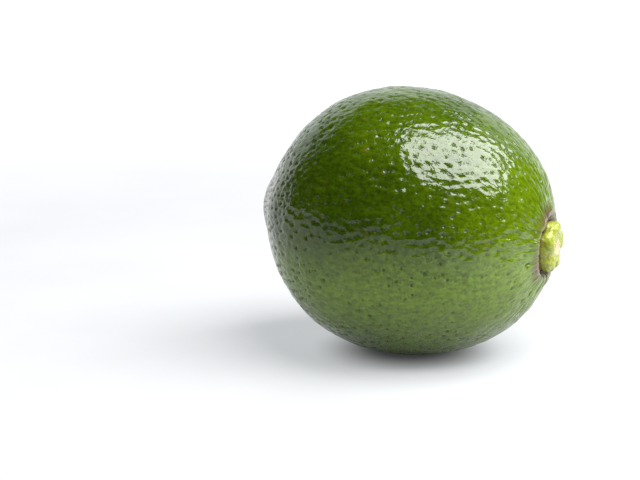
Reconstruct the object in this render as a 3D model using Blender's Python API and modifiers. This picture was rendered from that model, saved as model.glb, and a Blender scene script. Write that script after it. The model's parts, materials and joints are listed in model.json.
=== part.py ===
"""A whole lime with its stem button on, lying on its side on a small flat spot.

The fruit is one solid: a turned outline, blunt at the stem end and drawn out
into a nipple at the blossom end, whose bulk then swells a little above its
stem axis. The stem button, which is the five-lobed calyx with the scar of the
stalk in its middle, is a piece of its own that sits in a shallow socket.

Both are modelled round the fruit's own axis, the X axis of an empty, with the
stem end at +X. The empty leans the axis and stands the fruit on z = 0.
"""

import math

import bmesh
import bpy
from mathutils import Matrix, Vector

MM = 0.001

# Driving dimensions of the fruit
FRUIT_LENGTH = 56.0 * MM  # between the poles, without nipple and button
FRUIT_DIAMETER = 52.0 * MM
STEM_BLUNTNESS = 0.82  # power of the outline: 1 is an ellipse, less is blunter
BLOSSOM_BLUNTNESS = 1.0
STEM_TAPER = 0.04  # how much slimmer the stem half is than the blossom half
NIPPLE_HEIGHT = 2.8 * MM
NIPPLE_RADIUS = 6.4 * MM
STYLE_SCAR_DEPTH = 0.5 * MM
STYLE_SCAR_RADIUS = 1.3 * MM
UPWARD_SWELL = 1.3 * MM  # how far the bulk lies above the stem axis
SWELL_POWER = 4  # how soon after the stem end the swell sets in
STEM_DOWN_TILT = math.radians(3.0)
FLAT_SPOT_DEPTH = 0.45 * MM  # how much of the round underside is missing

# Driving dimensions of the stem button and its socket
BUTTON_DIAMETER = 10.2 * MM
BUTTON_HEIGHT = 3.1 * MM
BUTTON_EDGE_ROUND = 1.0 * MM
LOBES = 5
LOBE_RISE = 0.05  # share of the radius by which a lobe stands out
STALK_SCAR_DIAMETER = 3.4 * MM
STALK_SCAR_DEPTH = 0.45 * MM
SCAR_RIM_HEIGHT = 0.35 * MM
SCAR_RIM_WIDTH = 0.6 * MM
SOCKET_DEPTH = 1.1 * MM
SOCKET_WALL_WIDTH = 0.6 * MM  # how far the socket's wall leans outwards
SEAT_GAP = 0.3 * MM  # the least air between button and fruit

# Fineness of the surfaces: rings round the axis, and points along a profile
FRUIT_STEPS = 64
BUTTON_STEPS = 60
SOCKET_FLOOR_POINTS = 3
SOCKET_WALL_POINTS = 5
SIDE_POINTS = 44
SIDE_CROWDING = 1.4  # above 1, the rings stand closer together at the nipple
BUTTON_TOP_POINTS = 8
BUTTON_EDGE_POINTS = 6
MERGE = 0.02 * MM


def smooth_step(share):
    """0 below 0, 1 above 1, and an S-curve between."""
    share = min(max(share, 0.0), 1.0)
    return share * share * (3.0 - 2.0 * share)


def bare_outline(angle):
    """(x, radius) of the plain body, with no socket and no nipple. The angle
    runs from 0 at the stem pole to pi at the blossom pole."""
    power = STEM_BLUNTNESS if angle < math.pi / 2 else BLOSSOM_BLUNTNESS
    slimness = 1.0 - STEM_TAPER * math.cos(angle)
    radius = FRUIT_DIAMETER / 2 * math.sin(angle) ** power * slimness
    return FRUIT_LENGTH / 2 * math.cos(angle), radius


def socket_floor_radius():
    """The button's widest reach and the gap round it."""
    return BUTTON_DIAMETER / 2 * (1.0 + LOBE_RISE) + SEAT_GAP


def socket_rim_radius():
    return socket_floor_radius() + SOCKET_WALL_WIDTH


def stem_pole_angle(radius):
    """The outline's angle where the stem half reaches this radius."""
    low, high = 0.0, math.pi / 2
    for _ in range(40):
        middle = (low + high) / 2
        if bare_outline(middle)[1] < radius:
            low = middle
        else:
            high = middle
    return low


def fruit_profile():
    """The turned outline, from the middle of the socket round to the nipple."""
    floor_radius, rim_radius = socket_floor_radius(), socket_rim_radius()
    rim_angle = stem_pole_angle(rim_radius)
    rim_x = bare_outline(rim_angle)[0]
    floor_x = rim_x - SOCKET_DEPTH
    points = []
    for i in range(SOCKET_FLOOR_POINTS):
        points.append((floor_x, floor_radius * i / SOCKET_FLOOR_POINTS))
    for i in range(SOCKET_WALL_POINTS):
        share = i / SOCKET_WALL_POINTS
        radius = floor_radius + SOCKET_WALL_WIDTH * share
        points.append((floor_x + SOCKET_DEPTH * smooth_step(share), radius))

    for i in range(SIDE_POINTS + 1):
        share = 1.0 - (1.0 - i / SIDE_POINTS) ** SIDE_CROWDING
        angle = rim_angle + (math.pi - rim_angle) * share
        x, radius = bare_outline(angle)
        if angle > math.pi / 2:
            x -= NIPPLE_HEIGHT * math.exp(-((radius / NIPPLE_RADIUS) ** 2))
            x += STYLE_SCAR_DEPTH * math.exp(-((radius / STYLE_SCAR_RADIUS) ** 2))
        points.append((x, radius))
    points[-1] = (points[-1][0], 0.0)
    return points


def button_profile(seat_x):
    """The turned outline of the button, from the middle of its stalk scar over
    its rounded edge to the middle of its underside."""
    top_x = seat_x + BUTTON_HEIGHT
    round_off = BUTTON_EDGE_ROUND
    inner = BUTTON_DIAMETER / 2 - round_off
    scar = STALK_SCAR_DIAMETER / 2
    points = []
    for i in range(BUTTON_TOP_POINTS):
        radius = inner * i / BUTTON_TOP_POINTS
        dish = STALK_SCAR_DEPTH * (1.0 - smooth_step(radius / scar))
        rim = SCAR_RIM_HEIGHT * math.exp(-(((radius - scar) / SCAR_RIM_WIDTH) ** 2))
        points.append((top_x - dish + rim, radius))
    for i in range(BUTTON_EDGE_POINTS + 1):
        turn = math.pi / 2 * i / BUTTON_EDGE_POINTS
        x = top_x - round_off * (1.0 - math.cos(turn))
        points.append((x, inner + round_off * math.sin(turn)))
    for i in range(BUTTON_EDGE_POINTS + 1):
        turn = math.pi / 2 * i / BUTTON_EDGE_POINTS
        x = seat_x + round_off * (1.0 - math.sin(turn))
        points.append((x, inner + round_off * math.cos(turn)))
    points.append((seat_x, inner / 2))
    points.append((seat_x, 0.0))
    return points


def turned_mesh(name, profile, steps):
    """A closed mesh: the profile, a list of (x, radius), turned about X."""
    outline = bpy.data.meshes.new(name + "_profile")
    edges = [(i, i + 1) for i in range(len(profile) - 1)]
    outline.from_pydata([(x, 0.0, radius) for x, radius in profile], edges, [])
    lathe = bpy.data.objects.new(name + "_lathe", outline)
    bpy.context.scene.collection.objects.link(lathe)
    screw = lathe.modifiers.new("Turn", "SCREW")
    screw.axis = "X"
    screw.steps = steps
    screw.render_steps = steps
    screw.use_merge_vertices = True
    screw.merge_threshold = MERGE
    graph = bpy.context.evaluated_depsgraph_get()
    mesh = bpy.data.meshes.new_from_object(lathe.evaluated_get(graph))
    mesh.name = name
    bpy.data.objects.remove(lathe)
    bpy.data.meshes.remove(outline)

    shape = bmesh.new()
    shape.from_mesh(mesh)
    bmesh.ops.remove_doubles(shape, verts=shape.verts, dist=MERGE)
    bmesh.ops.recalc_face_normals(shape, faces=shape.faces)
    shape.to_mesh(mesh)
    shape.free()
    return mesh


def swell_upwards(mesh):
    """Lifts the body's rings above the stem axis. The socket stays on it."""
    rim_radius = socket_rim_radius()
    rim_x = bare_outline(stem_pole_angle(rim_radius))[0]
    for vertex in mesh.vertices:
        x, y, z = vertex.co
        in_socket = x > 0.0 and math.hypot(y, z) < rim_radius + MERGE
        if in_socket:
            continue
        share = min(max((rim_x - x) / FRUIT_LENGTH, 0.0), 1.0)
        vertex.co.z += UPWARD_SWELL * (1.0 - (1.0 - share) ** SWELL_POWER)


def raise_lobes(mesh):
    """Scallops the button's edge, with one lobe at the top."""
    reach = BUTTON_DIAMETER / 2
    inner = STALK_SCAR_DIAMETER / 2
    for vertex in mesh.vertices:
        x, y, z = vertex.co
        radius = math.hypot(y, z)
        if radius < inner:
            continue
        share = smooth_step((radius - inner) / (reach - inner))
        wave = math.cos(LOBES * math.atan2(y, z))
        grow = 1.0 + LOBE_RISE * wave * share
        vertex.co = Vector((x, y * grow, z * grow))


def material(name, colour, roughness):
    """A plain, non-metallic material."""
    made = bpy.data.materials.new(name)
    made.use_nodes = True
    shader = made.node_tree.nodes["Principled BSDF"]
    shader.inputs["Base Color"].default_value = (*colour, 1.0)
    shader.inputs["Roughness"].default_value = roughness
    shader.inputs["Metallic"].default_value = 0.0
    made.diffuse_color = (*colour, 1.0)
    return made


def placed(name, mesh, collection, parent, look):
    """A smooth-shaded object of this mesh, on the parent."""
    mesh.materials.append(look)
    mesh.shade_smooth()
    made = bpy.data.objects.new(name, mesh)
    collection.objects.link(made)
    made.parent = parent
    return made


def make_fruit(collection, parent):
    mesh = turned_mesh("lime_fruit", fruit_profile(), FRUIT_STEPS)
    swell_upwards(mesh)
    peel = material("lime_peel", (0.10, 0.24, 0.012), 0.32)
    return placed("lime_fruit", mesh, collection, parent, peel)


def make_button(collection, parent):
    floor_x = fruit_profile()[0][0]
    profile = button_profile(floor_x + SEAT_GAP)
    mesh = turned_mesh("stem_button", profile, BUTTON_STEPS)
    raise_lobes(mesh)
    calyx = material("stem_calyx", (0.42, 0.46, 0.08), 0.5)
    return placed("stem_button", mesh, collection, parent, calyx)


def world_box(pieces, turn):
    """Lowest and highest corner of the pieces, turned by this matrix."""
    points = [turn @ vertex.co for piece in pieces for vertex in piece.data.vertices]
    low = Vector([min(point[i] for point in points) for i in range(3)])
    high = Vector([max(point[i] for point in points) for i in range(3)])
    return low, high


def stand_on_table(axis, fruit, button, cutters):
    """Leans the fruit, centres it over the origin, sinks it by the flat spot's
    depth and cuts away what is then under z = 0."""
    axis.rotation_euler = (0.0, STEM_DOWN_TILT, 0.0)
    turn = Matrix.Rotation(STEM_DOWN_TILT, 4, "Y")
    low, high = world_box([fruit, button], turn)
    axis.location = (-(low.x + high.x) / 2, -(low.y + high.y) / 2, 0.0)
    axis.location.z = -low.z - FLAT_SPOT_DEPTH

    side = 2 * FRUIT_LENGTH
    bpy.ops.mesh.primitive_cube_add(size=side, location=(0.0, 0.0, -side / 2))
    table = bpy.context.object
    table.name = "table_cutter"
    for holder in list(table.users_collection):
        holder.objects.unlink(table)
    cutters.objects.link(table)
    table.display_type = "WIRE"
    table.hide_render = True

    cut = fruit.modifiers.new("Flat spot", "BOOLEAN")
    cut.operation = "DIFFERENCE"
    cut.solver = "EXACT"
    cut.object = table


def main():
    for obj in list(bpy.data.objects):
        bpy.data.objects.remove(obj)
    parts = bpy.data.collections.new("lime")
    cutters = bpy.data.collections.new("cutters")
    bpy.context.scene.collection.children.link(parts)
    bpy.context.scene.collection.children.link(cutters)

    axis = bpy.data.objects.new("fruit_axis", None)
    parts.objects.link(axis)
    fruit = make_fruit(parts, axis)
    button = make_button(parts, axis)
    stand_on_table(axis, fruit, button, cutters)


main()
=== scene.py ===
# %% [markdown]
# # The outside of a whole lime
# The plain solids of this lime, their sizes and their collision shapes were
# settled before. This lesson loads them as a frame that isn't changed, and
# builds the finished outside round them: a glossy, pitted peel, the lobed
# button where the stalk came off, and the light to see them in.

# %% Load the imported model
import json
import math
import random

import bpy
import numpy as np
from mathutils import Matrix, Vector, kdtree, noise

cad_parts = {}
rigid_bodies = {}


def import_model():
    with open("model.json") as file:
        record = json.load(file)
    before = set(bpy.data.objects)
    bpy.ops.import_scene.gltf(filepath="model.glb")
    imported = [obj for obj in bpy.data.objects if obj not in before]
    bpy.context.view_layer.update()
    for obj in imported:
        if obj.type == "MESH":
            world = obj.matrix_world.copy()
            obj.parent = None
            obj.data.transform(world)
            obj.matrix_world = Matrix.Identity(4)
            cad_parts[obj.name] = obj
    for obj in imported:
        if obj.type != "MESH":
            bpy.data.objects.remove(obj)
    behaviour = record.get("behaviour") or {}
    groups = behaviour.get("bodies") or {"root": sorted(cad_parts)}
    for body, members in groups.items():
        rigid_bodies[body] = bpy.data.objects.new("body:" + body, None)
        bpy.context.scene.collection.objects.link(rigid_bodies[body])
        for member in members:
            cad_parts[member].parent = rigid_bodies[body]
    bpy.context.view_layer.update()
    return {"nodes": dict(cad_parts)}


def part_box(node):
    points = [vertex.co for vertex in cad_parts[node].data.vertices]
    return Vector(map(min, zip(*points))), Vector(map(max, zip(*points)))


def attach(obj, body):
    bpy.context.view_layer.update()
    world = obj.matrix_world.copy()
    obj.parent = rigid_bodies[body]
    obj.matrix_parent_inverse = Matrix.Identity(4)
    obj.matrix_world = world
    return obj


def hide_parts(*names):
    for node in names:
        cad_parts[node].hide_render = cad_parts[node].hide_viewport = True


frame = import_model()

MM = 0.001
scene = bpy.context.scene

# %% [markdown]
# ## Helpers
# An operator acts on whatever is selected, so each step starts by letting go
# of everything. Points are picked in code by their place, and then moved by
# an operator or by a modifier, as a person would do by hand.


# %% Picking objects and points
def let_go():
    """Deselects every object."""
    for obj in bpy.data.objects:
        obj.select_set(False)


def only(obj):
    """Selects this object and nothing else, and makes it the active one."""
    let_go()
    obj.select_set(True)
    bpy.context.view_layer.objects.active = obj


def pick(obj, wanted):
    """Selects the points whose entry in this list of booleans is true."""
    wanted = np.asarray(wanted, bool)
    mesh = obj.data
    edge_ends = np.empty(len(mesh.edges) * 2, np.int32)
    mesh.edges.foreach_get("vertices", edge_ends)
    mesh.vertices.foreach_set("select", wanted)
    mesh.edges.foreach_set("select", wanted[edge_ends.reshape(-1, 2)].all(axis=1))
    mesh.polygons.foreach_set(
        "select", [bool(wanted[list(face.vertices)].all()) for face in mesh.polygons]
    )


def points_of(obj):
    """The mesh's points as an array of rows x, y, z, in metres."""
    flat = np.empty(len(obj.data.vertices) * 3)
    obj.data.vertices.foreach_get("co", flat)
    return flat.reshape(-1, 3)


# %% [markdown]
# A modifier is applied as soon as it is set, so that the next step can pick
# points on the shape it left. One helper pushes points along their normals by
# weights, which is what weight painting and a Displace modifier do by hand.

# %% Modifiers, applied as soon as they are set
def apply(obj, kind, **settings):
    """Adds a modifier of this kind with these settings, and applies it."""
    only(obj)
    modifier = obj.modifiers.new(kind.title(), kind)
    for name, value in settings.items():
        setattr(modifier, name, value)
    bpy.ops.object.modifier_apply(modifier=modifier.name)


def push(obj, name, weights, height):
    """Moves each point along its normal by its weight, from 0 to 1, times the
    height. A negative height pushes in. The weights stay as an attribute, so
    that a material can colour the same places."""
    weights = np.clip(weights, 0.0, 1.0)
    group_name = "push_" + name
    group = obj.vertex_groups.new(name=group_name)
    for i in np.nonzero(weights > 0.001)[0]:
        group.add([int(i)], float(weights[i]), "REPLACE")
    keep(obj, name, weights)
    apply(obj, "DISPLACE", strength=height, mid_level=0.0, vertex_group=group_name)
    obj.vertex_groups.clear()
    print(name, "reaches", int((weights > 0.5).sum()), "points,", round(height / MM, 2), "mm")


def keep(obj, name, values):
    """Stores a number, or a row of three, for each point, for a material."""
    values = np.asarray(values, np.float32)
    kind, slot = ("FLOAT", "value") if values.ndim == 1 else ("FLOAT_VECTOR", "vector")
    made = obj.data.attributes.new(name, kind, "POINT")
    made.data.foreach_set(slot, values.ravel())


def lumps(obj, name, size, height):
    """Uneven swellings of about this size all over."""
    texture = bpy.data.textures.new(name, "CLOUDS")
    texture.noise_scale = size
    texture.noise_depth = 2
    apply(obj, "DISPLACE", texture=texture, strength=height, mid_level=0.5)


def rise(values, start, end):
    """0 at start, 1 at end, and an S-curve between. It falls if end < start."""
    share = np.clip((np.asarray(values, float) - start) / (end - start), 0.0, 1.0)
    return share * share * (3.0 - 2.0 * share)


# %% [markdown]
# ## The stem axis
# Everything on a lime is arranged round the line from its stem to its
# blossom end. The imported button's five lobes are spaced evenly round that
# line, so the middle of its points lies on it, and the fruit leans three
# degrees, stem end down.

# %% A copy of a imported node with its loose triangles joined
def merged_copy(node, name):
    """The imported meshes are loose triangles, so their points are joined."""
    copy = bpy.data.objects.new(name, frame["nodes"][node].data.copy())
    scene.collection.objects.link(copy)
    only(copy)
    bpy.ops.object.mode_set(mode="EDIT")
    bpy.ops.mesh.select_all(action="SELECT")
    bpy.ops.mesh.remove_doubles(threshold=0.01 * MM)
    bpy.ops.object.mode_set(mode="OBJECT")
    return copy


# %% Where the axis runs
STEM_DOWN_TILT = math.radians(3.0)
axis = np.array([math.cos(STEM_DOWN_TILT), 0.0, -math.sin(STEM_DOWN_TILT)])
across = np.array([0.0, 1.0, 0.0])
upward = np.cross(axis, across)

button_guide = merged_copy("stem_button", "button_guide")
button_middle = points_of(button_guide).mean(axis=0)
outwards = (points_of(button_guide) - button_middle) @ axis
stem_top = button_middle + axis * outwards.max()
button_thickness = outwards.max() - outwards.min()
button_reach = (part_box("stem_button")[1].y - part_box("stem_button")[0].y) / 2
fruit_low, fruit_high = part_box("lime_fruit")
bpy.data.objects.remove(button_guide)
print("button reach", round(button_reach / MM, 2), "thickness", round(button_thickness / MM, 2))


def round_axis(points):
    """How far in from the button's top each point lies, how far from the
    axis, both in mm, and its angle round the axis from straight up."""
    offset = (points - stem_top) / MM
    side, height = offset @ across, offset @ upward
    return -offset @ axis, np.hypot(side, height), np.arctan2(side, height)


# %% [markdown]
# ## The camera
# The lime is seen from a little to the stem's side of square on, and from
# slightly above, through a long lens that keeps its outline undistorted. It
# stands to the right of the middle, so the camera aims past it.

# %% Camera
AIM_BEHIND_BUTTON = 28.1 * MM  # level, from the top of the button
CAMERA_DISTANCE = 400 * MM
VIEW_AZIMUTH = math.radians(19.0)
VIEW_ELEVATION = math.radians(13.0)
AIM_LEFT = math.radians(2.86)
AIM_DOWN = math.radians(0.135)

aim = Vector(stem_top) - Vector((AIM_BEHIND_BUTTON, 0.0, 0.0))
back = Vector((
    math.sin(VIEW_AZIMUTH) * math.cos(VIEW_ELEVATION),
    -math.cos(VIEW_AZIMUTH) * math.cos(VIEW_ELEVATION),
    math.sin(VIEW_ELEVATION),
))
camera_data = bpy.data.cameras.new("camera")
camera_data.sensor_width = 36.0
camera_data.lens = 115.4
camera_data.clip_start = 10 * MM
camera = bpy.data.objects.new("camera", camera_data)
scene.collection.objects.link(camera)
camera.location = aim + back * CAMERA_DISTANCE
camera.rotation_euler = (
    math.pi / 2 - VIEW_ELEVATION - AIM_DOWN,
    0.0,
    VIEW_AZIMUTH + AIM_LEFT,
)
scene.camera = camera

# %% [markdown]
# ## The peel's body
# A lime is nearly a ball, so it starts as a sphere whose poles lie at the
# stem and at the blossom end. A sphere made of a cube would have more even
# faces, but the creases of a lime run from pole to pole, and so do the edges
# of this one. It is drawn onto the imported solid, whose socket is closed first
# because the peel gets a finer one below. Smoothing then takes out the flat
# facets, and subdivision makes faces small enough for pits.

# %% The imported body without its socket
SOCKET_EDGE = button_reach / MM + 1.0  # mm from the axis, just inside its rim
SOCKET_IN = 6.0  # mm from the button's top, beyond its floor

body_guide = merged_copy("lime_fruit", "body_guide")
inward, radius, _ = round_axis(points_of(body_guide))
pick(body_guide, (inward < SOCKET_IN) & (radius < SOCKET_EDGE))
only(body_guide)
bpy.ops.object.mode_set(mode="EDIT")
bpy.ops.mesh.delete(type="VERT")
bpy.ops.mesh.select_non_manifold()
bpy.ops.mesh.edge_face_add()
bpy.ops.object.mode_set(mode="OBJECT")

# %% A sphere drawn onto it
SEGMENTS = 128
RINGS = 48
middle = (fruit_low + fruit_high) / 2
half = (fruit_high - fruit_low) / 2

let_go()
bpy.ops.mesh.primitive_uv_sphere_add(
    segments=SEGMENTS,
    ring_count=RINGS,
    radius=1.0,
    location=middle,
    rotation=(0.0, math.pi / 2 + STEM_DOWN_TILT, 0.0),
    scale=(half.z, half.y, half.x),
)
peel = bpy.context.object
peel.name = "peel"
bpy.ops.object.transform_apply(location=True, rotation=True, scale=True)
apply(peel, "SHRINKWRAP", target=body_guide, wrap_method="NEAREST_SURFACEPOINT")
bpy.data.objects.remove(body_guide)
apply(peel, "SMOOTH", factor=0.5, iterations=6)
SMOOTHED_AWAY = 0.12 * MM  # given back, so that the fruit keeps its size
apply(peel, "DISPLACE", strength=SMOOTHED_AWAY, mid_level=0.0)
apply(peel, "SUBSURF", levels=2, render_levels=2)
print("peel:", len(peel.data.polygons), "faces")

# %% [markdown]
# ## Uneven growth
# No lime is a perfect turned shape. Wide, faint swellings bend its outline
# and its highlight a little, and smaller ones lie between the oil glands,
# which is what breaks the edge of a highlight into threads. Sculpting would
# do it too, but clouds in a Displace modifier reach the whole peel and come
# out the same each time.

# %% Swellings
lumps(peel, "growth", size=13 * MM, height=0.60 * MM)
lumps(peel, "bosses", size=5.5 * MM, height=0.22 * MM)
lumps(peel, "between_glands", size=2.4 * MM, height=0.16 * MM)
lumps(peel, "skin_waves", size=1.2 * MM, height=0.07 * MM)

# %% [markdown]
# ## A peel that stretched as it grew
# Towards both ends the strips of peel have grown long and narrow, and with
# them every pit and wrinkle. To get that, the detail is laid out on a peel
# whose ends are drawn out wide, like a tube, where all spots are round. Each
# point of the mesh remembers its place there.

# %% Where each point would lie on the drawn-out peel
TUBE_RADIUS = 14.0  # mm, of the tube that the ends come near to


def drawn_out(points):
    """The places of these points, in mm, with the ends widened to a tube."""
    offset = (points - stem_top) / MM
    along = np.outer(offset @ axis, axis)
    out = offset - along
    radius = np.maximum(np.linalg.norm(out, axis=1), 0.01)
    wide = (radius**3 + TUBE_RADIUS**3) ** (1 / 3)
    return along + out * (wide / radius)[:, None]


grown = drawn_out(points_of(peel))
keep(peel, "grown", grown * MM)

# %% [markdown]
# ## Oil glands
# The peel is full of oil glands, each with a shallow dish over it and a small
# sharp pit in the dish. They lie close but never evenly. A grid or a texture
# of cells would look too regular, so they are thrown like darts from the
# middle of the fruit, and a dart that lands too near an earlier one is
# dropped. Which point of the mesh comes first may change from run to run, so
# the throws don't depend on that.

# %% Throw the darts
GLAND_SPACING = 1.45  # mm between neighbours, at the least
DARTS = 60000
random.seed(5)


def tree_of(places):
    """A tree that finds the nearest of these places quickly."""
    made = kdtree.KDTree(len(places))
    for i, place in enumerate(places):
        made.insert(place, i)
    made.balance()
    return made


def scattered(places, spacing):
    """Those of the places, in mm, that lie no nearer to an earlier one."""
    taken = {}
    chosen = []
    for here in places:
        cell = tuple(int(x // spacing) for x in here)
        near = (
            other
            for dx in (-1, 0, 1)
            for dy in (-1, 0, 1)
            for dz in (-1, 0, 1)
            for other in taken.get((cell[0] + dx, cell[1] + dy, cell[2] + dz), ())
        )
        if all(math.dist(here, other) >= spacing for other in near):
            taken.setdefault(cell, []).append(here)
            chosen.append(here)
    return np.array(chosen)


ways = points_of(peel) - np.array(middle)
peel_ways = tree_of(ways / np.linalg.norm(ways, axis=1)[:, None])
landed = []
for _ in range(DARTS):
    thrown = Vector((random.gauss(0, 1), random.gauss(0, 1), random.gauss(0, 1)))
    landed.append(grown[peel_ways.find(thrown.normalized())[1]].tolist())
glands = scattered(landed, GLAND_SPACING)
print(len(glands), "oil glands")

# %% [markdown]
# Pits are coarser towards the blossom end, and deep in some regions of the
# peel and faint in others. The dish is pushed into the mesh. The pit is finer
# than the faces, so the mesh only stores the way to the middle of the nearest
# gland, and the material works out the pit from that.

# %% How wide and how deep each gland's pit is
DEPTH_REGION = 8.0  # mm
PIT_RADIUS = (0.28, 0.50)  # mm

coarse = rise((stem_top / MM - glands) @ axis, 30.0, 48.0)
region = np.array([noise.noise(Vector(place) / DEPTH_REGION) for place in glands])
pit_radius = np.array([random.uniform(*PIT_RADIUS) for _ in glands]) * (1.0 + 0.15 * coarse)
pit_depth = np.array([0.22 + 0.78 * random.random() ** 1.7 for _ in glands])
pit_depth = np.clip(pit_depth * (0.66 + 1.0 * region + 0.60 * coarse), 0.06, 1.2)
print("pits deeper than half:", int((pit_depth > 0.5).sum()))

# %% Each point of the mesh takes after its nearest gland
DISH_RADIUS = 0.85  # mm
DISH_DEPTH = 0.20 * MM

gland_tree = tree_of(glands)
nearest = np.array([gland_tree.find(place)[1] for place in grown])
gland_depth = pit_depth[nearest]
offset = grown - glands[nearest]
distance = np.linalg.norm(offset, axis=1)
keep(peel, "gland_offset", offset / pit_radius[nearest][:, None])
keep(peel, "gland_near", rise(distance, 0.72, 0.60) * gland_depth)
push(peel, "gland_dish", rise(distance, DISH_RADIUS, 0.05) * gland_depth, -DISH_DEPTH)

surface = points_of(peel) / MM
inward, radius, angle = round_axis(surface * MM)

# %% [markdown]
# ## The stem end
# Round the button the peel rises in a low collar, and then dives into a
# narrow crevice under the button. Creases run out from it between the swollen
# strips of peel. They are deepest at the collar and fade over a centimetre.
# Cutting each one by hand would be slow, so ridges in a noise that runs round
# the axis lay them out.

# %% Creases
CREASES = 46  # round the whole button
CREASE_LENGTH = 6.5  # mm along which one keeps its line

crease = np.zeros(len(surface))
crease_fade = rise(inward, 11.0, 4.0) * rise(radius, 4.0, 6.5)
circle = CREASES / (2 * math.pi)
for i in np.nonzero(crease_fade > 0.01)[0]:
    along = inward[i] / CREASE_LENGTH
    spot = Vector((math.cos(angle[i]) * circle, math.sin(angle[i]) * circle, along))
    ridge = 1.0 - abs(noise.noise(spot)) * 2.6
    crease[i] = max(ridge, 0.0) ** 2 * crease_fade[i]
push(peel, "crease", crease, -0.16 * MM)

# %% Collar and crevice
CREVICE_RADIUS = button_reach / MM - 0.15  # mm, a little under the button's edge

uneven = 0.35 * np.sin(angle * 5 + 0.6) + 0.25 * np.sin(angle * 3 - 1.0)
collar = np.exp(-(((radius - CREVICE_RADIUS - 1.7 - uneven) / 1.2) ** 2)) * (inward < 10.0)
push(peel, "collar", collar * (0.75 + 0.5 * uneven), 0.60 * MM)
crevice = rise(radius - 0.4 * uneven, CREVICE_RADIUS + 0.9, CREVICE_RADIUS - 0.6) * (inward < 10.0)
push(peel, "crevice", crevice, -1.3 * MM)

# %% [markdown]
# ## The blossom end and the underside
# The blossom fell off the tip of the nipple and left a small dry scar. The
# peel rests on a flat spot, so whatever the last steps left below the table
# is flattened onto it, as one would do by scaling a selection to nothing in Z.

# %% Scar of the blossom and flat spot
tip_distance = np.hypot(radius, (inward.max() - inward) * 0.6)
scar = rise(tip_distance, 1.9, 0.9) * (inward > 30.0)
push(peel, "blossom_scar", scar, -0.25 * MM)

height = points_of(peel)[:, 2]
pick(peel, height < 0.0)
only(peel)
bpy.ops.object.mode_set(mode="EDIT")
bpy.ops.transform.resize(value=(1.0, 1.0, 0.0), center_override=(0.0, 0.0, 0.0))
bpy.ops.object.mode_set(mode="OBJECT")
print("flattened", int((height < 0.0).sum()), "points, deepest", round(height.min() / MM, 2), "mm")

# %% [markdown]
# Two things that the peel's colour follows are stored with its points: how
# far they are from the stem, and how brown they are tinged. The tinge hugs
# the button all round, and spreads where the fruit rubbed against its stalk.

# %% What the peel's colour will follow
keep(peel, "from_stem", inward)
beyond = np.where(inward < 10.0, radius - CREVICE_RADIUS - uneven, 50.0)
rubbed = np.exp(-(((angle + 0.35) / 0.55) ** 2)) + np.exp(-(((angle + 2.0) / 0.50) ** 2))
keep(peel, "tinge", np.maximum(rise(beyond, 1.9, 0.8) * 0.8, rise(beyond, 4.0, 2.0) * rubbed))
only(peel)
bpy.ops.object.shade_smooth()

# %% [markdown]
# ## The stem button
# The button is what is left of the flower's calyx: five thick lobes grown
# into a rolled rim, with a sunken scar where the stalk came off. It is
# modelled as a short cylinder with rounded edges, whose top face is inset
# again and again, each time raised or sunk a little. Turning an outline round
# the axis would do as well, but the insets are quicker to change by hand.

# %% A short cylinder on the stem axis
BUTTON_SIDES = 60
button_height = button_thickness + 0.5 * MM  # its foot is hidden in the crevice

let_go()
bpy.ops.mesh.primitive_cylinder_add(
    vertices=BUTTON_SIDES,
    radius=button_reach - 0.35 * MM,
    depth=button_height,
    end_fill_type="NGON",
    location=stem_top - axis * (button_height / 2 + 0.30 * MM),
    rotation=(0.0, math.pi / 2 + STEM_DOWN_TILT, 0.0),
)
button = bpy.context.object
button.name = "calyx_button"
bpy.ops.object.transform_apply(location=True, rotation=True, scale=True)

# %% Rounded edges
bpy.ops.object.mode_set(mode="EDIT")
bpy.ops.mesh.select_mode(type="EDGE")
bpy.ops.mesh.select_all(action="DESELECT")
bpy.ops.mesh.edges_select_sharp(sharpness=math.radians(60))
bpy.ops.mesh.bevel(affect="EDGES", offset=1.5 * MM, segments=5, profile=0.5)
bpy.ops.object.mode_set(mode="OBJECT")

# %% A rolled rim and a sunken scar in the top face
top = max(button.data.polygons, key=lambda face: face.center.dot(Vector(axis)))
for element in (*button.data.vertices, *button.data.edges, *button.data.polygons):
    element.select = False
top.select = True
bpy.ops.object.mode_set(mode="EDIT")
bpy.ops.mesh.select_mode(type="FACE")
for width, lift in (
    (0.40, 0.04),  # the rim
    (0.45, -0.08),
    (0.45, -0.26),  # down into the hollow
    (0.35, -0.10),
    (0.30, 0.20),  # up to the stalk's scar
    (0.30, 0.10),
    (0.30, -0.12),  # the dip in the scar
):
    bpy.ops.mesh.inset(thickness=width * MM, depth=lift * MM)
bpy.ops.mesh.poke()
bpy.ops.mesh.select_mode(type="VERT")
bpy.ops.object.mode_set(mode="OBJECT")
apply(button, "SUBSURF", levels=2, render_levels=2)
print("button:", len(button.data.polygons), "faces")

# %% [markdown]
# Pushing in five valleys parts the lobes, and clouds of two sizes swell and
# wrinkle them. A last smoothing rounds off what the pushes left sharp.

# %% Lobes and lumps
LOBES = 5
inward_b, radius_b, angle_b = round_axis(points_of(button))
valley = (0.5 - 0.5 * np.cos(LOBES * angle_b)) ** 3
push(button, "lobe_valley", valley * rise(radius_b, 1.8, 4.0), -0.50 * MM)
lumps(button, "calyx_swelling", size=2.0 * MM, height=0.95 * MM)
lumps(button, "calyx_wrinkle", size=0.9 * MM, height=0.14 * MM)
apply(button, "SMOOTH", factor=0.5, iterations=4)
inward_b, radius_b, angle_b = round_axis(points_of(button))
keep(button, "from_top", inward_b)
keep(button, "from_axis", radius_b)
only(button)
bpy.ops.object.shade_smooth()


# %% [markdown]
# ## Materials
# Two effects are used on both the peel and the button, so they are one node
# group: a fine grain for the bump, and flecks for the colour. The group only
# puts out numbers that vary over the surface, and each material gives it its
# own sizes. Lengths are in metres, so a scale of 1000 makes one blob a
# millimetre.

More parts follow.
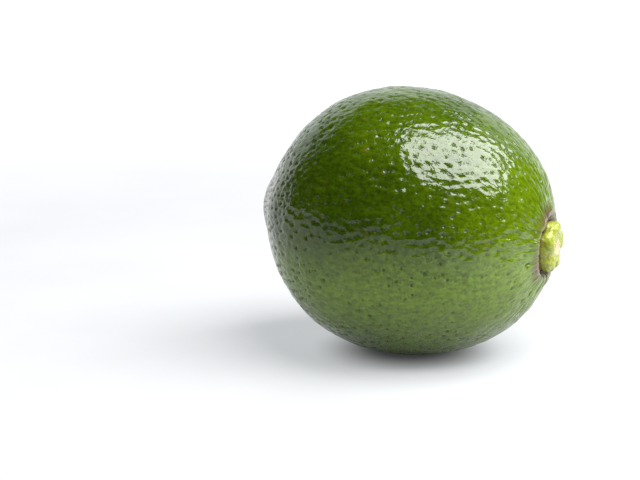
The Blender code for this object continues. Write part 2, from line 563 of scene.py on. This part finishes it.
# %% Short ways to write nodes
def new_material(name):
    made = bpy.data.materials.new(name)
    made.use_nodes = True
    return made, made.node_tree, made.node_tree.nodes["Principled BSDF"]


def add(tree, kind, **settings):
    """A node of this kind. Settings are its properties."""
    made = tree.nodes.new(kind)
    for name, value in settings.items():
        setattr(made, name, value)
    return made


def set_in(tree, socket, value):
    """Links the value if it is another node's output, and else writes it."""
    if isinstance(value, bpy.types.NodeSocket):
        tree.links.new(value, socket)
    else:
        socket.default_value = value


def noise_of(tree, vector, scale, detail=3.0, roughness=0.5):
    made = add(tree, "ShaderNodeTexNoise")
    set_in(tree, made.inputs["Vector"], vector)
    set_in(tree, made.inputs["Scale"], scale)
    made.inputs["Detail"].default_value = detail
    made.inputs["Roughness"].default_value = roughness
    return made.outputs["Fac"]


def ramp(tree, value, low, high, to_low=0.0, to_high=1.0):
    """A smooth change from one number to another."""
    made = add(tree, "ShaderNodeMapRange", interpolation_type="SMOOTHSTEP")
    set_in(tree, made.inputs["Value"], value)
    names = ("From Min", "From Max", "To Min", "To Max")
    for name, number in zip(names, (low, high, to_low, to_high)):
        made.inputs[name].default_value = number
    return made.outputs["Result"]


def mix(tree, share, first, second, blend="MIX"):
    """A colour between two, each a linear RGB triple or an output."""
    made = add(tree, "ShaderNodeMix", data_type="RGBA", blend_type=blend)
    set_in(tree, made.inputs["Factor"], share)
    for socket, value in ((made.inputs[6], first), (made.inputs[7], second)):
        set_in(tree, socket, value if isinstance(value, bpy.types.NodeSocket) else (*value, 1.0))
    return made.outputs[2]


def calculate(tree, operation, first, second):
    made = add(tree, "ShaderNodeMath", operation=operation)
    set_in(tree, made.inputs[0], first)
    set_in(tree, made.inputs[1], second)
    return made.outputs[0]


def stored(tree, name, output="Fac"):
    """What the mesh stores for each point under this name."""
    return add(tree, "ShaderNodeAttribute", attribute_name=name).outputs[output]


def length_of(tree, vector):
    made = add(tree, "ShaderNodeVectorMath", operation="LENGTH")
    set_in(tree, made.inputs[0], vector)
    return made.outputs["Value"]


# %% The group: grain and flecks of living skin
def skin_group():
    group = bpy.data.node_groups.new("living_skin", "ShaderNodeTree")
    sockets = group.interface
    sockets.new_socket("Vector", in_out="INPUT", socket_type="NodeSocketVector")
    sockets.new_socket("Grain Scale", in_out="INPUT", socket_type="NodeSocketFloat")
    sockets.new_socket("Fleck Scale", in_out="INPUT", socket_type="NodeSocketFloat")
    sockets.new_socket("Grain", in_out="OUTPUT", socket_type="NodeSocketFloat")
    sockets.new_socket("Flecks", in_out="OUTPUT", socket_type="NodeSocketFloat")
    given = group.nodes.new("NodeGroupInput")
    result = group.nodes.new("NodeGroupOutput")
    vector = given.outputs["Vector"]
    cloud = noise_of(group, vector, given.outputs["Grain Scale"], detail=3.0, roughness=0.6)
    cells = add(group, "ShaderNodeTexVoronoi", feature="SMOOTH_F1")
    group.links.new(vector, cells.inputs["Vector"])
    group.links.new(given.outputs["Grain Scale"], cells.inputs["Scale"])
    cells.inputs["Smoothness"].default_value = 0.6
    cloud = calculate(group, "MULTIPLY", cloud, 0.6)
    grain = calculate(group, "ADD", cloud, cells.outputs["Distance"])
    group.links.new(grain, result.inputs["Grain"])
    spots = add(group, "ShaderNodeTexVoronoi", feature="F1")
    group.links.new(vector, spots.inputs["Vector"])
    group.links.new(given.outputs["Fleck Scale"], spots.inputs["Scale"])
    spots.inputs["Randomness"].default_value = 0.9
    dots = ramp(group, spots.outputs["Distance"], 0.16, 0.42, 1.0, 0.0)
    group.links.new(dots, result.inputs["Flecks"])
    return group


living_skin = skin_group()


def skin(tree, vector, grain_scale, fleck_scale):
    made = add(tree, "ShaderNodeGroup", node_tree=living_skin)
    set_in(tree, made.inputs["Vector"], vector)
    made.inputs["Grain Scale"].default_value = grain_scale
    made.inputs["Fleck Scale"].default_value = fleck_scale
    return made.outputs["Grain"], made.outputs["Flecks"]


# %% [markdown]
# ### Peel
# Lime peel is a deep green that turns yellower towards the stem and the
# blossom end, with paler and darker clouds a few millimetres wide. Below the
# middle the peel is painted paler, as painted light bounced from the floor,
# and close to the floor that is held back as painted contact shade. Colours
# are mixed from wide to fine, so that each finer mark lies over the ones
# before. One painted image of the whole peel would do too, but would blur
# close up.

# %% Greens from the middle to the ends
DARK_GREEN = (0.029, 0.057, 0.0005)
MID_GREEN = (0.047, 0.085, 0.0006)
YELLOW_GREEN = (0.080, 0.134, 0.0013)

peel_look, tree, shader = new_material("lime_peel")
place = add(tree, "ShaderNodeTexCoord").outputs["Object"]
grown_place = stored(tree, "grown", "Vector")
from_stem = stored(tree, "from_stem")
clouds = ramp(tree, noise_of(tree, place, 75.0, 3.0), 0.35, 0.65)
colour = mix(tree, clouds, DARK_GREEN, MID_GREEN)
wander = calculate(tree, "MULTIPLY", noise_of(tree, place, 90.0, 3.0), 14.0)
near_stem = ramp(tree, calculate(tree, "ADD", from_stem, wander), 27.0, 9.0)
near_tip = ramp(tree, calculate(tree, "SUBTRACT", from_stem, wander), 42.0, 55.0, 0.0, 0.6)
colour = mix(tree, near_stem, colour, YELLOW_GREEN)
colour = mix(tree, near_tip, colour, YELLOW_GREEN)

# %% Painted floor bounce below the middle, held back near the floor as painted contact shade
PAINTED_BOUNCE_GREEN = (0.120, 0.203, 0.0050)

lowness = add(tree, "ShaderNodeSeparateXYZ")
set_in(tree, lowness.inputs[0], place)
# Painted light: below the middle the peel is made paler for light bounced from the floor, and near
# the floor this is held back as painted contact shade.
painted_floor_bounce = ramp(tree, lowness.outputs["Z"], 0.029, 0.016)
painted_contact_shade = ramp(tree, lowness.outputs["Z"], 0.004, 0.018, 0.15, 1.0)
painted_floor_bounce = calculate(tree, "MULTIPLY", painted_floor_bounce, painted_contact_shade)
colour = mix(tree, painted_floor_bounce, colour, PAINTED_BOUNCE_GREEN)

# %% [markdown]
# Next come the marks of a millimetre and less: mottling, wrinkles that run
# from end to end, flecks, the dark middles of the pits, and a few faint brown
# freckles. The dark middles are partly the glands' own darker green and partly
# painted shade in the pits. All but the freckles follow the drawn-out peel, so
# they grow longer towards the ends as the pits do.

# %% Mottling, wrinkles, pits and freckles
GLAND_AND_PIT_SHADE_GREEN = (0.012, 0.028, 0.0005)
FRECKLE_BROWN = (0.100, 0.070, 0.012)

mottle = ramp(tree, noise_of(tree, grown_place, 1100.0, 4.0, 0.6), 0.32, 0.68, 0.78, 1.20)
colour = mix(tree, 1.0, colour, mottle, "MULTIPLY")
lengthways = add(tree, "ShaderNodeMapping")
lengthways.inputs["Scale"].default_value = (0.35, 1.0, 1.0)
set_in(tree, lengthways.inputs["Vector"], grown_place)
wrinkles = noise_of(tree, lengthways.outputs["Vector"], 1700.0, 2.0)
colour = mix(tree, 1.0, colour, ramp(tree, wrinkles, 0.32, 0.68, 0.84, 1.14), "MULTIPLY")
grain, flecks = skin(tree, grown_place, 2600.0, 1500.0)
colour = mix(tree, calculate(tree, "MULTIPLY", flecks, 0.32), colour, GLAND_AND_PIT_SHADE_GREEN)
pit = ramp(tree, length_of(tree, stored(tree, "gland_offset", "Vector")), 1.0, 0.30)
pit = calculate(tree, "MULTIPLY", pit, stored(tree, "gland_near"))
# Painted shade: the pits' middles are darkened with this green, partly the glands' own colour and
# partly shade that falls in the pits.
colour = mix(tree, calculate(tree, "MULTIPLY", pit, 0.6), colour, GLAND_AND_PIT_SHADE_GREEN)
freckles = ramp(tree, noise_of(tree, place, 480.0, 2.0), 0.64, 0.74, 0.0, 0.30)
colour = mix(tree, freckles, colour, FRECKLE_BROWN)

# %% Brown round the button, in the crevice and on the blossom's scar
STEM_BROWN = (0.118, 0.056, 0.048)
CREVICE_BROWN = (0.100, 0.046, 0.034)
SCAR_BROWN = (0.15, 0.09, 0.03)

patches = ramp(tree, noise_of(tree, grown_place, 900.0, 3.0), 0.34, 0.56, 0.45, 1.0)
tinge = calculate(tree, "MULTIPLY", stored(tree, "tinge"), patches)
colour = mix(tree, tinge, colour, STEM_BROWN)
colour = mix(tree, ramp(tree, stored(tree, "crevice"), 0.35, 0.85), colour, CREVICE_BROWN)
colour = mix(tree, stored(tree, "blossom_scar"), colour, SCAR_BROWN)
set_in(tree, shader.inputs["Base Color"], colour)

# %% [markdown]
# The peel's wax gives a clear gloss that is duller in patches and in the
# pits. A coat layer could stand for the wax, but over a skin with no shine of
# its own one plain gloss looks the same.
#
# The relief is the sum of what is finer than the faces: pebbles of a
# millimetre, the wrinkles, the grain, the flecks and the pits. It is worked
# out in millimetres, and the Bump node's distance makes it real heights.

# %% The peel's gloss
roughness = ramp(tree, noise_of(tree, grown_place, 1300.0, 4.0, 0.6), 0.36, 0.56, 0.20, 0.08)
roughness = calculate(tree, "ADD", roughness, calculate(tree, "MULTIPLY", pit, 0.45))
set_in(tree, shader.inputs["Roughness"], roughness)
shader.inputs["IOR"].default_value = 1.5

# %% The peel's relief
pebbles = noise_of(tree, grown_place, 750.0, 1.0)
relief = calculate(tree, "MULTIPLY", pebbles, 0.105)
for part, height_mm in ((wrinkles, 0.030), (grain, 0.012), (flecks, -0.014), (pit, -0.05)):
    relief = calculate(tree, "ADD", relief, calculate(tree, "MULTIPLY", part, height_mm))
bump = add(tree, "ShaderNodeBump")
bump.inputs["Strength"].default_value = 1.0
bump.inputs["Distance"].default_value = MM
set_in(tree, bump.inputs["Height"], relief)
set_in(tree, shader.inputs["Normal"], bump.outputs["Normal"])

# %% [markdown]
# ### Button
# The lobes are yellow-green and waxy, paler and corkier at the rim and in
# the scar, and brown where they meet the peel. They are thin and moist, so a
# little light goes into them and comes out again nearby.

# %% The button's colour, gloss and grain
CALYX_GREEN = (0.215, 0.255, 0.016)
CALYX_YELLOW = (0.300, 0.330, 0.040)
CALYX_PALE = (0.50, 0.48, 0.20)
SCAR_PALE = (0.50, 0.42, 0.24)
CALYX_BROWN = (0.15, 0.09, 0.03)

button_look, tree, shader = new_material("stem_calyx")
place = add(tree, "ShaderNodeTexCoord").outputs["Object"]
grain, flecks = skin(tree, place, 1400.0, 1700.0)
clouds = ramp(tree, noise_of(tree, place, 300.0, 3.0), 0.36, 0.64)
colour = mix(tree, clouds, CALYX_GREEN, CALYX_YELLOW)
colour = mix(tree, ramp(tree, noise_of(tree, place, 900.0, 3.0), 0.60, 0.80), colour, CALYX_PALE)
colour = mix(tree, ramp(tree, stored(tree, "from_axis"), 2.0, 1.2), colour, SCAR_PALE)
colour = mix(tree, calculate(tree, "MULTIPLY", flecks, 0.25), colour, CALYX_GREEN)
colour = mix(tree, ramp(tree, stored(tree, "from_top"), 1.9, 3.0), colour, CALYX_BROWN)
set_in(tree, shader.inputs["Base Color"], colour)
roughness = ramp(tree, noise_of(tree, place, 700.0), 0.3, 0.7, 0.18, 0.36)
set_in(tree, shader.inputs["Roughness"], roughness)
shader.inputs["Subsurface Weight"].default_value = 0.15
shader.inputs["Subsurface Radius"].default_value = (1.0, 0.9, 0.3)
shader.inputs["Subsurface Scale"].default_value = 1.0 * MM
bump = add(tree, "ShaderNodeBump")
bump.inputs["Strength"].default_value = 1.0
bump.inputs["Distance"].default_value = 0.05 * MM
set_in(tree, bump.inputs["Height"], grain)
set_in(tree, shader.inputs["Normal"], bump.outputs["Normal"])

# %% [markdown]
# ## Into the frame
# Both pieces ride on the one body that the lime has. Each takes the place of
# its imported node.

# %% Each piece gets its material and its body, and its imported node is hidden
for piece, look, node, slot in (
    (peel, peel_look, "lime_fruit", "lime_peel"),
    (button, button_look, "stem_button", "stem_calyx"),
):
    piece.data.materials.clear()
    piece.data.materials.append(look)
    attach(piece, "root")
    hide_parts(node)

# %% [markdown]
# ## Floor and light
# The lime lies on a wide white floor. If it were evenly white, it would
# mirror too brightly in the peel's lower half, so it glows with painted
# light instead: low under the fruit, as a painted contact shadow, and
# brighter where the softbox stands, as a painted pool of its light. It ends
# a little way to the right, where the peel mirrors the dark room.

# %% Floor
FLOOR_SIZE = 6.0
FLOOR_RIGHT_EDGE = 0.32
FLOOR_TINT = (0.98, 0.99, 1.0)

let_go()
bpy.ops.mesh.primitive_grid_add(
    x_subdivisions=2,
    y_subdivisions=2,
    size=FLOOR_SIZE,
    location=(FLOOR_RIGHT_EDGE - FLOOR_SIZE / 2, 0.0, 0.0),
)
floor = bpy.context.object
floor.name = "floor"
bpy.ops.object.transform_apply(location=True, rotation=True, scale=True)

# %% The floor's own colour
floor_look, tree, shader = new_material("white_floor")
place = add(tree, "ShaderNodeTexCoord").outputs["Object"]
shade = ramp(tree, noise_of(tree, place, 30.0), 0.3, 0.7, 0.24, 0.26)
set_in(tree, shader.inputs["Base Color"], mix(tree, 1.0, FLOOR_TINT, shade, "MULTIPLY"))
shader.inputs["Roughness"].default_value = 0.6

# %% The floor's glow
GLOW_UNDER_FRUIT = (0.04, 0.04, 0.04)
GLOW_AROUND = (0.46, 0.47, 0.485)
GLOW_UNDER_SOFTBOX = (1.20, 1.21, 1.22)
GLOW_FAR = (1.05, 1.05, 1.05)

from_fruit = length_of(tree, place)
rightness = add(tree, "ShaderNodeSeparateXYZ")
set_in(tree, rightness.inputs[0], place)
# Painted light: the glow is low under the fruit as a painted contact shadow, and high towards the
# softbox as a painted pool of its light.
open_floor = ramp(tree, from_fruit, 0.006, 0.020)
under_softbox = ramp(tree, rightness.outputs["X"], 0.021, 0.070)
far = ramp(tree, from_fruit, 0.12, 0.45)
glow = mix(tree, open_floor, GLOW_UNDER_FRUIT, GLOW_AROUND)
glow = mix(tree, under_softbox, glow, GLOW_UNDER_SOFTBOX)
glow = mix(tree, far, glow, GLOW_FAR)
set_in(tree, shader.inputs["Emission Color"], glow)
shader.inputs["Emission Strength"].default_value = 1.0
floor.data.materials.append(floor_look)

# %% [markdown]
# A large softbox hangs above the lime on the stem's side. It is the only
# lamp, and its window shows on the peel as the broken highlight. Its distance
# and its two sides set how large the highlight is, and its turn sets how the
# highlight leans.

# %% Softbox
SOFTBOX_WIDTH = 0.60
SOFTBOX_HEIGHT = 0.41
SOFTBOX_DISTANCE = 0.50
SOFTBOX_RADIANCE = 11.8
softbox_way = Vector((0.51, 0.02, 0.86)).normalized()
softbox_data = bpy.data.lights.new("softbox", "AREA")
softbox_data.shape = "RECTANGLE"
softbox_data.size = SOFTBOX_WIDTH
softbox_data.size_y = SOFTBOX_HEIGHT
softbox_data.energy = SOFTBOX_RADIANCE * math.pi * SOFTBOX_WIDTH * SOFTBOX_HEIGHT
softbox = bpy.data.objects.new("softbox", softbox_data)
scene.collection.objects.link(softbox)
softbox.location = Vector(middle) + softbox_way * SOFTBOX_DISTANCE
long_side = Vector((0.62, 0.72, -0.30))
long_side = (long_side - softbox_way * long_side.dot(softbox_way)).normalized()
short_side = softbox_way.cross(long_side)
softbox.rotation_euler = Matrix((long_side, short_side, softbox_way)).transposed().to_euler()

# %% [markdown]
# The top edge of the peel mirrors a bright wall behind it, while the room in
# front stays dim, so that the green between them keeps its depth. The wall
# ends towards the stem. Past the floor the camera itself sees an even pale
# grey, whatever the peel mirrors.

# %% The room: bright wall behind, dim in front, pale grey to the camera
room = bpy.data.worlds.new("room")
scene.world = room
room.use_nodes = True
tree = room.node_tree
tree.nodes.clear()
way = add(tree, "ShaderNodeTexCoord").outputs["Generated"]
parts = add(tree, "ShaderNodeSeparateXYZ")
set_in(tree, parts.inputs[0], way)
low_down = ramp(tree, parts.outputs["Z"], 0.50, 0.72, 1.0, 0.0)
behind = ramp(tree, parts.outputs["Y"], 0.05, 0.50)
left = ramp(tree, parts.outputs["X"], 0.50, 0.25)
wall = calculate(tree, "MULTIPLY", calculate(tree, "MULTIPLY", low_down, behind), left)
strength = ramp(tree, wall, 0.0, 1.0, 0.02, 1.1)
lit_room = add(tree, "ShaderNodeBackground")
set_in(tree, lit_room.inputs["Strength"], strength)
lit_room.inputs["Color"].default_value = (0.93, 0.97, 1.0, 1.0)
pale_room = add(tree, "ShaderNodeBackground")
chosen = add(tree, "ShaderNodeMixShader")
set_in(tree, chosen.inputs[0], add(tree, "ShaderNodeLightPath").outputs["Is Camera Ray"])
tree.links.new(lit_room.outputs[0], chosen.inputs[1])
tree.links.new(pale_room.outputs[0], chosen.inputs[2])
tree.links.new(chosen.outputs[0], add(tree, "ShaderNodeOutputWorld").inputs[0])

# %% [markdown]
# A film curve would soften the highlight and grey the floor's white, so none
# is used.

# %% Colours with no film curve
scene.view_settings.view_transform = "Standard"
scene.view_settings.look = "None"
